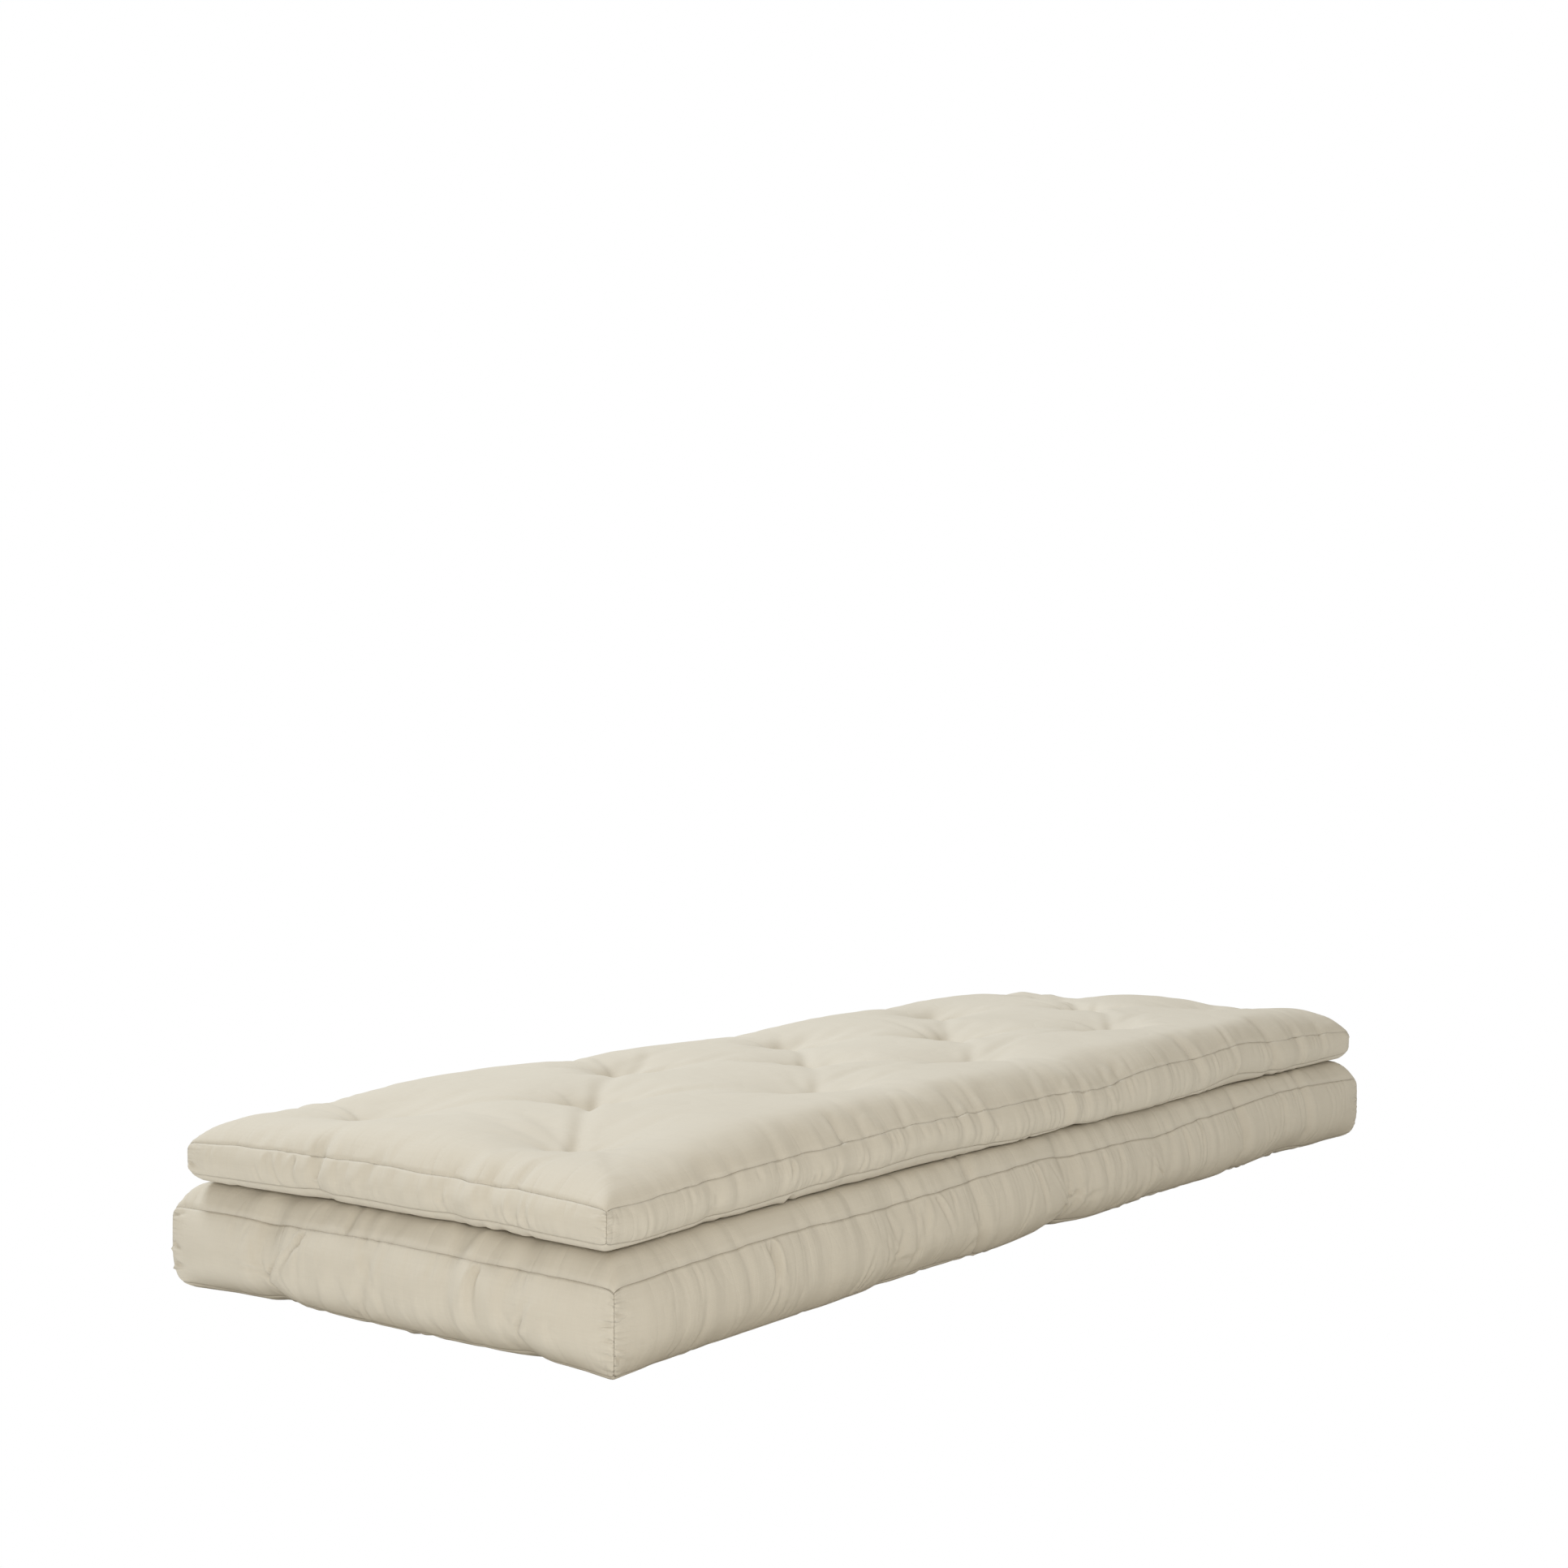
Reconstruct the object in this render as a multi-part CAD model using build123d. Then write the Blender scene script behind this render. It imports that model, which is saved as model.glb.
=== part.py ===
"""Two-layer tufted futon mattress: a thick base mattress and a thinner topper lying on it.

Each layer is a sewn canvas casing (top panel, bottom panel, border strips) filled with three
layers of padding and drawn together by twine ties that sit in wells. Both layers fold at
mid length, so every cloth panel and padding layer is cut there into a foot half and a head half.

Millimetres. +X runs along the length from foot to head, +Y across, +Z up. The origin is on the
floor under the middle of the mattress.
"""

from build123d import *
import math
import os

os.makedirs("parts", exist_ok=True)

# Overall plan of the two layers, measured over the bulge of the borders.
BASE_LENGTH, BASE_WIDTH = 2000.0, 750.0
TOPPER_LENGTH, TOPPER_WIDTH = 1990.0, 716.0
TOPPER_SHIFT_X, TOPPER_SHIFT_Y = -3.0, -9.0
CORNER_RADIUS = 24.0

# Heights above the floor. The fold's axis runs across the mattress 1 mm above the topper's crown.
BASE_CROWN_Z = 128.0
LAYER_GAP = 0.6
TOPPER_BOTTOM_Z = BASE_CROWN_Z + LAYER_GAP
TOPPER_CROWN_Z = 236.0
BASE_SEAM_Z = (8.0, 105.0)
TOPPER_SEAM_Z = (149.0, 190.0)
BASE_PAD_Z = (40.0, 88.0)
TOPPER_PAD_Z = (160.0, 188.0)

# The gap that parts the two halves at mid length.
FOLD_GAP = 1.0

# Cloth, seams and fits. The borders and their seams lie within RIM of the edge, clear of the wells.
CLOTH = 1.2
SEAM = 1.2
FIT = 0.25
SEAM_GAP = 0.15
RIM = 30.0

# Twine ties and the wells that they pull into the faces.
TWINE = 2.4
TIE_SPAN = 9.0
TIE_BEND = 2.2
SLOT_LENGTH, SLOT_WIDTH = 15.0, 5.0
WELL_RADIUS, WELL_FLOOR_RADIUS = 44.0, 10.0
BASE_WELLS = (18.0, 22.0)
TOPPER_WELLS = (14.0, 28.0)

# Places of the ties: an outer row near each long side and a middle row between them.
OUTER_ROW_Y = 172.0
BASE_OUTER_X = (-850.0, -440.0, 20.0, 450.0, 865.0)
BASE_MIDDLE_X = (-640.0, -210.0, 225.0, 650.0)
TOPPER_OUTER_X = (-840.0, -360.0, 35.0, 468.0, 850.0)
TOPPER_MIDDLE_X = (-605.0, -130.0, 255.0, 700.0)

# Larger than the whole mattress, for cutting it.
BIG = 3000.0


class Layer:
    """One mattress: its plan, the profile of its edge and the wells in its two faces."""

    def __init__(self, name, length, width, shift, profile, seams, wells, pads, rows):
        self.name = name
        self.length, self.width = length, width
        self.shift = shift
        self.profile = profile
        self.low_seam, self.high_seam = seams
        self.low_well, self.high_well = wells
        self.pads = pads
        self.low_z, self.high_z = profile[0][1], profile[-1][1]
        outer_x, middle_x = rows
        self.ties = [(x, y) for x in outer_x for y in (-OUTER_ROW_Y, OUTER_ROW_Y)]
        self.ties += [(x, 0.0) for x in middle_x]

    def tie_places(self):
        """The ties' places in the part's frame."""
        return [(x + self.shift[0], y + self.shift[1]) for x, y in self.ties]


# Edge profiles, from the bottom face's flat to the top face's flat: (inset from the bulge, height).
BASE_PROFILE = [(95, 0), (40, 1.2), (14, 4), (8, 8), (1.5, 30), (0, 55), (1, 82), (5, 105),
                (16, 113), (42, 121), (80, 126), (130, BASE_CROWN_Z)]
TOPPER_PROFILE = [(95, TOPPER_BOTTOM_Z), (50, 133), (22, 140), (7, 149), (0, 168), (6, 190),
                  (17, 202), (44, 217), (90, 230), (150, TOPPER_CROWN_Z)]

BASE = Layer(
    "base",
    BASE_LENGTH,
    BASE_WIDTH,
    (0.0, 0.0),
    BASE_PROFILE,
    seams=BASE_SEAM_Z,
    wells=BASE_WELLS,
    pads=(
        ("lower_batt", 0.0, BASE_PAD_Z[0]),
        ("foam_core", *BASE_PAD_Z),
        ("upper_batt", BASE_PAD_Z[1], BASE_CROWN_Z),
    ),
    rows=(BASE_OUTER_X, BASE_MIDDLE_X),
)
TOPPER = Layer(
    "topper",
    TOPPER_LENGTH,
    TOPPER_WIDTH,
    (TOPPER_SHIFT_X, TOPPER_SHIFT_Y),
    TOPPER_PROFILE,
    seams=TOPPER_SEAM_Z,
    wells=TOPPER_WELLS,
    pads=(
        ("lower_batt", TOPPER_BOTTOM_Z, TOPPER_PAD_Z[0]),
        ("middle_batt", *TOPPER_PAD_Z),
        ("upper_batt", TOPPER_PAD_Z[1], TOPPER_CROWN_Z),
    ),
    rows=(TOPPER_OUTER_X, TOPPER_MIDDLE_X),
)


def offset_profile(profile, skin):
    """The edge profile moved inwards by skin, square to its own line."""
    moved = []
    last = len(profile) - 1
    for i, (inset, z) in enumerate(profile):
        before = profile[max(i - 1, 0)]
        after = profile[min(i + 1, last)]
        run_in = before[0] - after[0]
        run_z = after[1] - before[1]
        size = math.hypot(run_in, run_z)
        if i in (0, last):
            moved.append((inset + skin, z + (skin if i == 0 else -skin)))
        else:
            moved.append((inset + skin * run_z / size, z + skin * run_in / size))
    return moved


def envelope(layer, skin):
    """The layer's whole outer shape, taken in by skin, with the wells of its ties."""
    rings = [
        Pos(*layer.shift, z)
        * RectangleRounded(
            layer.length - 2 * inset,
            layer.width - 2 * inset,
            CORNER_RADIUS - min(inset, CORNER_RADIUS / 2),
        )
        for inset, z in offset_profile(layer.profile, skin)
    ]
    body = loft(rings, ruled=True)
    taper = (WELL_RADIUS - WELL_FLOOR_RADIUS) / layer.high_well
    for x, y in layer.tie_places():
        high = layer.high_well + CLOTH
        top = Cone(WELL_FLOOR_RADIUS, WELL_FLOOR_RADIUS + taper * high, high)
        body -= Pos(x, y, layer.high_z - layer.high_well - skin + high / 2) * top
        low = layer.low_well + CLOTH
        under = Cone(WELL_FLOOR_RADIUS + taper * low, WELL_FLOOR_RADIUS, low)
        body -= Pos(x, y, layer.low_z + layer.low_well + skin - low / 2) * under
    return body


def slab(low, high):
    """Everything between two heights."""
    return Pos(0, 0, (low + high) / 2) * Box(BIG, BIG, high - low)


def half(side):
    """Everything on one side of the fold: side is -1 for the foot and 1 for the head."""
    return Pos(side * (BIG + FOLD_GAP) / 2, 0, 0) * Box(BIG, BIG, BIG)


def slots(layer, side):
    """The slots that the ties run through, in one half."""
    places = [(x, y) for x, y in layer.tie_places() if x * side > 0]
    return [Pos(x, y, 0) * Box(SLOT_LENGTH, SLOT_WIDTH, BIG) for x, y in places]


def rim(layer):
    """The strip along the layer's edge that holds its borders and seams."""
    inner = Box(layer.length - 2 * RIM, layer.width - 2 * RIM, BIG)
    return Box(BIG, BIG, BIG) - Pos(*layer.shift, 0) * inner


def corner_strip(layer, end, side):
    """A thin upright strip through one corner of the border, where its vertical seam runs."""
    x = layer.shift[0] + end * (layer.length - CORNER_RADIUS) / 2
    y = layer.shift[1] + side * (layer.width - CORNER_RADIUS) / 2
    turn = 45.0 if end * side > 0 else -45.0
    return Pos(x, y, 0) * Rot(0, 0, turn) * Box(2 * RIM, SEAM, BIG)


def beyond(layer, end, width):
    """The space past both corner seams of one end, where its end border lies, less half of width."""
    far = layer.length / 2 - layer.width / 2
    tip = (layer.shift[0] + end * far, layer.shift[1])
    out = tip[0] + end * BIG / 2
    clear = width / 2 * math.sqrt(2)
    wedge = Polyline(
        (tip[0] + end * clear, tip[1]),
        (out, tip[1] + BIG / 2 - clear),
        (out, tip[1] - BIG / 2 + clear),
        close=True,
    )
    return extrude(Pos(0, 0, -BIG / 2) * make_face(wedge), BIG)


def casing_pieces(layer, side):
    """The cloth panels, borders and seams of one half, by name."""
    skin = (envelope(layer, 0) - envelope(layer, CLOTH)) & half(side)
    gap = SEAM / 2 + SEAM_GAP
    low, high = layer.low_seam, layer.high_seam
    middle = (low + high) / 2
    holes = slots(layer, side)
    edge = rim(layer)
    edge_skin = skin & edge
    band = edge_skin & slab(low + gap, high - gap)
    made = {
        "bottom_panel": (skin & slab(-BIG, middle)) - (edge & slab(low - gap, BIG)) - holes,
        "top_panel": (skin & slab(middle, BIG)) - (edge & slab(-BIG, high + gap)) - holes,
        "low_seam": edge_skin & slab(low - SEAM / 2, low + SEAM / 2),
        "high_seam": edge_skin & slab(high - SEAM / 2, high + SEAM / 2),
    }
    strips = [corner_strip(layer, side, y) for y in (-1, 1)]
    made["corner_seams"] = band & (strips[0] + strips[1])
    ends = beyond(layer, side, 2 * gap)
    made["end_border"] = band & ends
    sides = band - beyond(layer, side, -2 * gap)
    made["front_border"] = sides & Pos(0, -BIG / 2, 0) * Box(BIG, BIG, BIG)
    made["back_border"] = sides & Pos(0, BIG / 2, 0) * Box(BIG, BIG, BIG)
    return made


def padding_pieces(layer, side):
    """The padding layers of one half, by name, each with slots for the ties."""
    core = (envelope(layer, CLOTH + FIT) & half(side)) - slots(layer, side)
    pads = {}
    for name, low, high in layer.pads:
        pads[name] = core & slab(low + FIT / 2, high - FIT / 2)
    return pads


def tie(layer, x, y):
    """One closed loop of twine through the layer, its two stitches lying in the wells."""
    top = layer.high_z - layer.high_well + FIT + TWINE / 2
    low = layer.low_z + layer.low_well - FIT - TWINE / 2
    loop = RectangleRounded(TIE_SPAN, top - low, TIE_BEND)
    path = (Pos(x, y, (top + low) / 2) * Rot(90, 0, 0) * loop).wire()
    start = path @ 0
    section = Plane(origin=start, z_dir=path % 0) * Circle(TWINE / 2)
    return sweep(section, path=path)


def ties(layer, side):
    """All the ties of one half, as separate loops."""
    places = [(x, y) for x, y in layer.tie_places() if x * side > 0]
    return Compound(children=[tie(layer, x, y).solid() for x, y in places])


def write(name, shape):
    """Writes one node, with its solids only."""
    solids = list(shape.solids())
    node = solids[0] if len(solids) == 1 else Compound(children=solids)
    export_step(node, f"parts/{name}.step")


for layer in (BASE, TOPPER):
    for side, label in ((-1, "foot"), (1, "head")):
        pieces = casing_pieces(layer, side)
        pieces.update(padding_pieces(layer, side))
        pieces["ties"] = ties(layer, side)
        for piece, shape in pieces.items():
            write(f"{layer.name}_{label}_{piece}", shape)
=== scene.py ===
import math

import bmesh
import bpy
import numpy as np
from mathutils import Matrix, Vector


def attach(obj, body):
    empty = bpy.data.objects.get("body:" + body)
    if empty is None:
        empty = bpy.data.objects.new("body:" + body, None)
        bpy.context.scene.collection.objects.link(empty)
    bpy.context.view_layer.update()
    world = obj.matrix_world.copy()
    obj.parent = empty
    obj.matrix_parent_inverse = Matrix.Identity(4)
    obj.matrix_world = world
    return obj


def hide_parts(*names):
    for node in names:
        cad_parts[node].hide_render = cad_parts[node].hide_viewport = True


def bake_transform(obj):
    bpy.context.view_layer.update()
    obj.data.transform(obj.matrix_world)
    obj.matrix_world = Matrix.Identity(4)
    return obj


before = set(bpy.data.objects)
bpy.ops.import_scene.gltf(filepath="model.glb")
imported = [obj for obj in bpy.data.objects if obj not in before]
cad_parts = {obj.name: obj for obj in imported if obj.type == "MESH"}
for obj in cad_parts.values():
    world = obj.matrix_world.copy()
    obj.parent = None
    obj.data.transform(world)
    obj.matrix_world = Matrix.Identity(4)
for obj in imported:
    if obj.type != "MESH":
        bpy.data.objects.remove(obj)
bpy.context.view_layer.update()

# ---------------------------------------------------------------------------------------------
# Camera, floor and light. A low camera looks along the mattress from beyond its near corner.
# A soft cool key stands behind the mattress, so the pillows shade towards the camera. A weak
# light from the foot end rakes the long side, and a warm sky fills. The floor only throws light
# back, and isn't drawn.

CAMERA_PLACE = (-2.710, -1.892, 0.656)
CAMERA_YAW = math.radians(52.913)
CAMERA_PITCH = math.radians(2.457)

camera_data = bpy.data.cameras.new("camera")
camera_data.lens = 50.16
camera_data.sensor_width = 36.0
camera_data.shift_y = 0.05
camera = bpy.data.objects.new("camera", camera_data)
camera.location = CAMERA_PLACE
camera.rotation_euler = (math.pi / 2 - CAMERA_PITCH, 0.0, -CAMERA_YAW)
bpy.context.scene.collection.objects.link(camera)
bpy.context.scene.camera = camera
bpy.context.scene.view_settings.view_transform = "Standard"


def soft_light(name, place, aim, size, power, colour):
    """A square area light at place that faces aim."""
    data = bpy.data.lights.new(name, "AREA")
    data.size = size
    data.energy = power
    data.color = colour
    light = bpy.data.objects.new(name, data)
    light.location = place
    light.rotation_euler = (Vector(aim) - Vector(place)).to_track_quat("-Z", "Y").to_euler()
    bpy.context.scene.collection.objects.link(light)


soft_light("key", (-0.6, 2.6, 4.2), (0, 0, 0.1), 1.5, 184.0, (0.83, 0.905, 1.0))
soft_light("rake", (-3.7, -2.8, 1.4), (0, 0, 0.1), 0.6, 54.0, (1.0, 0.96, 0.89))

world = bpy.data.worlds.new("studio")
world.use_nodes = True
sky = world.node_tree.nodes["Background"]
sky.inputs["Color"].default_value = (1.0, 0.965, 0.88, 1.0)
sky.inputs["Strength"].default_value = 0.62
backdrop = world.node_tree.nodes.new("ShaderNodeBackground")
backdrop.inputs["Color"].default_value = (1.0, 1.0, 1.0, 1.0)
seen_direct = world.node_tree.nodes.new("ShaderNodeLightPath")
sky_mix = world.node_tree.nodes.new("ShaderNodeMixShader")
world.node_tree.links.new(seen_direct.outputs["Is Camera Ray"], sky_mix.inputs[0])
world.node_tree.links.new(sky.outputs[0], sky_mix.inputs[1])
world.node_tree.links.new(backdrop.outputs[0], sky_mix.inputs[2])
world.node_tree.links.new(sky_mix.outputs[0], world.node_tree.nodes["World Output"].inputs[0])
bpy.context.scene.world = world

floor_form = bmesh.new()
bmesh.ops.create_grid(floor_form, x_segments=1, y_segments=1, size=40.0)
bmesh.ops.translate(floor_form, verts=floor_form.verts, vec=(0, 0, -0.0005))
floor_mesh = bpy.data.meshes.new("floor")
floor_form.to_mesh(floor_mesh)
floor_form.free()
floor = bpy.data.objects.new("floor", floor_mesh)
bpy.context.scene.collection.objects.link(floor)
floor.visible_camera = False
floor_paint = bpy.data.materials.new("floor_paint")
floor_paint.use_nodes = True
floor_shader = floor_paint.node_tree.nodes["Principled BSDF"]
floor_shader.inputs["Base Color"].default_value = (0.93, 0.93, 0.92, 1.0)
floor_shader.inputs["Roughness"].default_value = 0.9
floor_mesh.materials.append(floor_paint)

# ---------------------------------------------------------------------------------------------
# Canvas: the plain-woven, unbleached cotton that both casings are sewn from. Its yarns are
# slightly uneven, so the cloth has faint slubs both ways and a soft drift of tone. Sewing gathers
# it into small sharp folds that start square to each seam.

WARP_PER_M = 1400.0
SLUB_LONG, SLUB_FINE = 16.0, 420.0
YARN_HEIGHT = 0.00024


class Weave:
    """A shader socket that plain arithmetic can be done on."""

    def __init__(self, tree, socket):
        self.tree = tree
        self.socket = socket

    def node(self, kind, settings, inputs, output=0):
        """Adds a node, with its settings made first and then its sockets' values or links."""
        made = self.tree.nodes.new(kind)
        for name, value in settings.items():
            setattr(made, name, value)
        for key, value in inputs.items():
            if isinstance(value, Weave):
                self.tree.links.new(value.socket, made.inputs[key])
            else:
                made.inputs[key].default_value = value
        return Weave(self.tree, made.outputs[output])

    def maths(self, operation, first, second=0.0):
        return self.node("ShaderNodeMath", {"operation": operation}, {0: first, 1: second})

    def __add__(self, other):
        return self.maths("ADD", self, other)

    def __sub__(self, other):
        return self.maths("SUBTRACT", self, other)

    def __mul__(self, other):
        return self.maths("MULTIPLY", self, other)

    def __rsub__(self, other):
        return self.maths("SUBTRACT", other, self)

    __radd__ = __add__
    __rmul__ = __mul__


def stretched_noise(root, where, across, along, detail=2.0):
    """Noise on a position that is scaled apart in its two directions."""
    scaled = root.node(
        "ShaderNodeMapping", {}, {"Vector": where, "Scale": (across, along, across)}
    )
    return root.node("ShaderNodeTexNoise", {}, {"Vector": scaled, "Scale": 1.0, "Detail": detail})


def sharp_folds(root, where, across, along):
    """Rounded lands with sharp valleys between them, from noise that is scaled apart."""
    level = stretched_noise(root, where, across, along) * 2.0 - 1.0
    ridge = level.maths("ABSOLUTE", level)
    return ridge.maths("POWER", ridge, 0.8)


def fading(distance, reach):
    """Falls from 1 as a distance grows, to about a third at reach."""
    return distance.maths("EXPONENT", distance * (-1.0 / reach))


def cloth_finish(name, pitch, pucker, reach, pucker_reach, everywhere, relief):
    """Canvas for a panel with its flat cut and its distances from the seams as UV maps."""
    finish = bpy.data.materials.new(name)
    finish.use_nodes = True
    tree = finish.node_tree
    shader = tree.nodes["Principled BSDF"]
    root = Weave(tree, shader.outputs[0])
    cut = root.node("ShaderNodeUVMap", {"uv_map": "cut"}, {})
    rim = root.node("ShaderNodeUVMap", {"uv_map": "rim"}, {})
    space = root.node("ShaderNodeTexCoord", {}, {}, "Object")
    weft = stretched_noise(root, cut, SLUB_LONG, SLUB_FINE)
    warp = stretched_noise(root, cut, SLUB_FINE, SLUB_LONG)
    drift = root.node("ShaderNodeTexNoise", {}, {"Vector": space, "Scale": 3.2, "Detail": 3.0})
    tone = (drift - 0.5) * 0.8 + (weft - 0.5) * 0.45 + (warp - 0.5) * 0.4 + 0.5
    colour = root.node(
        "ShaderNodeMix",
        {"data_type": "RGBA"},
        {"Factor": tone, "A": (*CANVAS_DARK, 1.0), "B": (*CANVAS_LIGHT, 1.0)},
        2,
    )
    patch = stretched_noise(root, cut, 7.0, 7.0)
    to_long = root.node("ShaderNodeSeparateXYZ", {}, {"Vector": rim}, "X")
    to_end = root.node("ShaderNodeSeparateXYZ", {}, {"Vector": rim}, "Y")
    upright = sharp_folds(root, cut, 1.0 / pitch, 0.2 / pitch)
    level = sharp_folds(root, cut, 0.25 / pucker, 1.0 / pucker)
    loose = sharp_folds(root, cut, 9.0, 9.0)
    gathered = upright * (fading(to_long, reach) * (1.0 - everywhere) + everywhere)
    patches = patch * 2.6 - 0.9
    patchy = patches.maths("MAXIMUM", patches, 0.0)
    folds = gathered * patchy + level * fading(to_end, pucker_reach) + loose * 0.5
    folded = root.node("ShaderNodeBump", {}, {"Strength": 1.0, "Distance": relief, "Height": folds})
    waves = {"wave_type": "BANDS", "wave_profile": "SIN"}
    ribs = {"Vector": cut, "Scale": WARP_PER_M / (2 * math.pi), "Distortion": 0.0}
    over = root.node("ShaderNodeTexWave", {**waves, "bands_direction": "X"}, ribs)
    under = root.node("ShaderNodeTexWave", {**waves, "bands_direction": "Y"}, ribs)
    height = over * under * 0.5 + weft * 0.7 + warp * 0.7
    woven = {"Strength": 0.5, "Distance": YARN_HEIGHT, "Height": height, "Normal": folded}
    bump = root.node("ShaderNodeBump", {}, woven)
    tree.links.new(colour.socket, shader.inputs["Base Color"])
    tree.links.new((0.92 + (tone - 0.5) * 0.05).socket, shader.inputs["Roughness"])
    tree.links.new(bump.socket, shader.inputs["Normal"])
    shader.inputs["Specular IOR Level"].default_value = 0.0
    return finish


CANVAS_LIGHT, CANVAS_DARK = (0.594, 0.550, 0.470), (0.539, 0.494, 0.414)
canvas = cloth_finish("canvas", 0.040, 0.040, 0.045, 0.045, 0.04, 0.0036)
border_canvas = cloth_finish("border_canvas", 0.030, 0.013, 0.026, 0.014, 0.22, 0.0052)

# ---------------------------------------------------------------------------------------------
# Casings. Each mattress is a closed canvas box, sewn flat and then stuffed, which the ties draw
# in. The box is cut a little larger than its finished plan, so stuffing it raises the pillows
# and leaves the borders in upright pleats. Both casings are simulated side by side.

CELL = 0.0114
CLOTH_FRAMES = 20
PRESSURE = 9.0
PLEAT_WAVES = (0.047, 0.073, 0.12, 0.21)
PLEAT_DEPTH, PLEAT_REACH = 0.0042, 0.060
BUNCH_WAVES = (0.16, 0.27, 0.43)
BROAD_WELL, NARROW_WELL = 0.105, 0.032
CREASE_SPAN, CREASE_WIDTH = 0.33, 0.021
PINCH_WIDTH = 0.020
ROLL_REACH, ROLL_SHARE = 0.010, 0.38
CONTACT_Z = 0.1385
FAR_LIFT_FROM, FAR_LIFT_RUN = 0.15, 0.45
TOPMOST_Z, TOPMOST_RISE, TOPMOST_RUN = 0.2362, 0.0036, 0.30
MOST_PUFF = 0.024
SEAM_PIN, CORNER_PIN = 0.12, 0.8
BACK_WAVE, WAVE_REACH = 0.8, 0.15

# Where the undersides stand off near the fold: the place along the length, the width and the height.
STAND_OFF = {"base": (-0.041, 0.022, 0.0036), "topper": (0.032, 0.035, 0.0048)}

PANELS = ("bottom_panel", "top_panel", "front_border", "back_border", "foot_border", "head_border")
BOTTOM, TOP, FRONT, BACK, FOOT, HEAD = range(6)

CASINGS = {
    "base": {
        "low": (-0.998, -0.373),
        "high": (0.998, 0.373),
        "seams": (0.005, 0.104),
        "tuck": 0.024,
        "lean": 0.009,
        "seam_sink": 0.0,
        "crown": 0.036,
        "crown_reach": 0.014,
        "bulge": 0.013,
        "sag": 0.006,
        "wells": (0.016, 0.014),
        "slack": (1.036, 1.026, 1.05),
        "quiet": 0.20,
        "far_lift": 0.0,
        "pinches": ((FRONT, -0.45, 7), (FRONT, -0.007, 12), (FRONT, 0.03, 5), (FRONT, 0.55, 8),
                    (FRONT, 0.27, 5), (BACK, -0.2, 8), (BACK, 0.4, 6), (FOOT, 0.19, 9),
                    (FOOT, -0.23, 4), (HEAD, 0.1, 7)),
        "outer_x": (-0.850, -0.440, 0.020, 0.450, 0.865),
        "middle_x": (-0.640, -0.210, 0.225, 0.650),
        "middle_y": 0.0,
        "front_y": -0.172,
        "back_y": 0.172,
        "top_wave": ((-1.0, 0), (-0.7, 3), (-0.47, -2), (-0.1, 5), (0.12, -5), (0.27, -12), (0.43, -3),
                     (0.74, 7), (1.0, 0)),
        "low_wave": ((-1.0, 2), (-0.9, -2), (-0.6, -1), (-0.35, 7), (-0.2, -1), (-0.03, 5), (0.12, -1),
                     (0.29, 4), (0.5, -2), (0.73, 9), (0.88, -1), (1.0, 2)),
    },
    "topper": {
        "low": (-0.998, -0.363),
        "high": (0.990, 0.345),
        "seams": (0.1495, 0.190),
        "tuck": 0.004,
        "lean": 0.007,
        "seam_sink": 0.0003,
        "crown": 0.043,
        "crown_reach": 0.048,
        "bulge": 0.008,
        "sag": 0.013,
        "wells": (0.004, 0.034),
        "slack": (1.036, 1.030, 1.06),
        "quiet": 0.10,
        "far_lift": 0.009,
        "pinches": ((FRONT, -0.80, 3), (FRONT, -0.18, 5), (FRONT, 0.16, 4), (FRONT, 0.70, 5), (BACK, -0.5, 5),
                    (BACK, 0.2, 5), (FOOT, 0.12, 4), (FOOT, -0.1, 3), (HEAD, -0.1, 5)),
        "outer_x": (-0.840, -0.360, 0.035, 0.468, 0.860),
        "middle_x": (-0.605, -0.125, 0.258, 0.707),
        "middle_y": 0.012,
        "front_y": -0.172,
        "back_y": 0.178,
        "top_wave": ((-1.0, 0), (-0.93, -3), (-0.65, 7), (-0.37, 15), (-0.02, 9), (0.12, 0), (0.28, 15),
                     (0.45, 15), (0.57, 20), (0.76, 9), (1.0, 0)),
        "low_wave": ((-1.0, 0), (-0.93, -4), (-0.5, 11), (-0.37, 14), (-0.1, 0), (0.18, -13), (0.39, -2),
                     (0.57, 13), (0.72, 0), (1.0, 0)),
    },
}


def eased(share):
    """A share kept within 0 to 1, with a smooth start and end."""
    share = np.clip(share, 0, 1)
    return share * share * (3 - 2 * share)


def smooth_line(x, points):
    """A smooth line in metres through points of (place in metres, height in millimetres)."""
    places = np.array([p for p, _ in points])
    heights = np.array([h for _, h in points]) / 1000.0
    at = np.clip(np.searchsorted(places, x) - 1, 0, len(places) - 2)
    share = eased((x - places[at]) / (places[at + 1] - places[at]))
    return heights[at] * (1 - share) + heights[at + 1] * share


def ripple(s, waves, seed):
    """A sum of sines with seeded phases along s, about 1 at most. waves are their lengths in metres."""
    draw = np.random.default_rng(seed)
    total = np.zeros_like(s)
    for length in waves:
        slow = np.sin(s * 2 * np.pi / (length * draw.uniform(4, 7)) + draw.uniform(0, 6.3))
        total += np.sin(s * 2 * np.pi / length + draw.uniform(0, 6.3) + 1.2 * slow) * (0.6 + 0.4 * slow)
    return total / len(waves) ** 0.5


def side_outlook(home, spec, side):
    """For one side of a casing: the place along it, the distance in from it, and its way out."""
    (x0, y0), (x1, y1) = spec["low"], spec["high"]
    x, y = home[:, 0], home[:, 1]
    if side in (FRONT, BACK):
        out = -1.0 if side == FRONT else 1.0
        return x, (y - y0 if side == FRONT else y1 - y), np.array([0, out, 0.0])
    out = -1.0 if side == FOOT else 1.0
    return y, (x - x0 if side == FOOT else x1 - x), np.array([out, 0, 0.0])


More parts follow.
